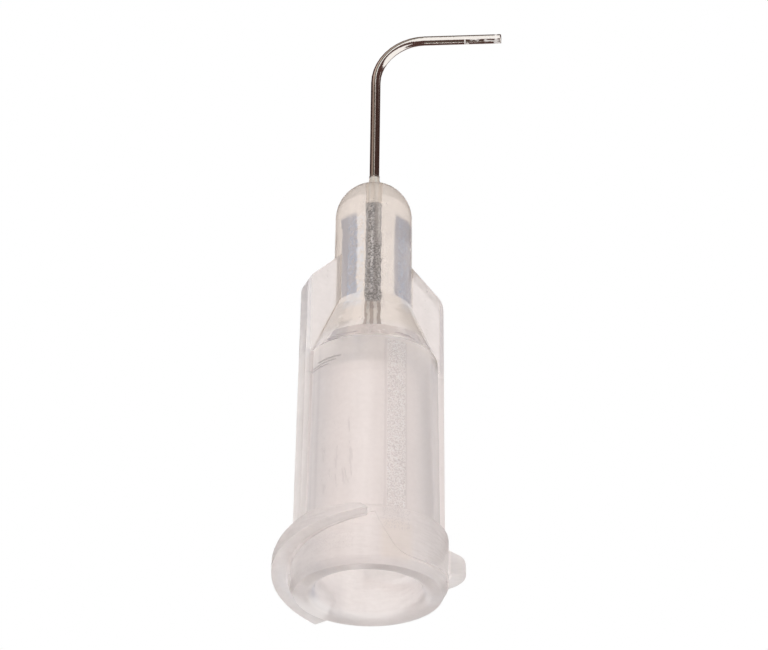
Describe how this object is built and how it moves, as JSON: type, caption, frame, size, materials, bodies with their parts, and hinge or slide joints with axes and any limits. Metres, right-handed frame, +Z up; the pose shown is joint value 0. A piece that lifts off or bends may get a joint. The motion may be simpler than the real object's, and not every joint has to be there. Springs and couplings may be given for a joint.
{
  "type": "dispensing needle tip",
  "caption": "Clear plastic lock-fitting hub with grip wings and a thin steel cannula bent square, for dispensing fluids.",
  "frame": {"origin": "centre of the mouth ring's flat face at the hub's open end", "axes": "+Z up the hub's axis towards the cannula, X through the two grip wings, -Y towards the viewer"},
  "size_m": [0.0089, 0.0074, 0.0265],
  "materials": {
    "hub_plastic": "clear natural polypropylene, slightly milky, as moulded",
    "cannula_steel": "bright drawn stainless steel tube",
    "bond_epoxy": "clear cured epoxy, faintly straw coloured"
  },
  "bodies": {
    "root": {"hub": "hub_plastic", "cannula": "cannula_steel", "bond": "bond_epoxy"}
  },
  "joints": []
}
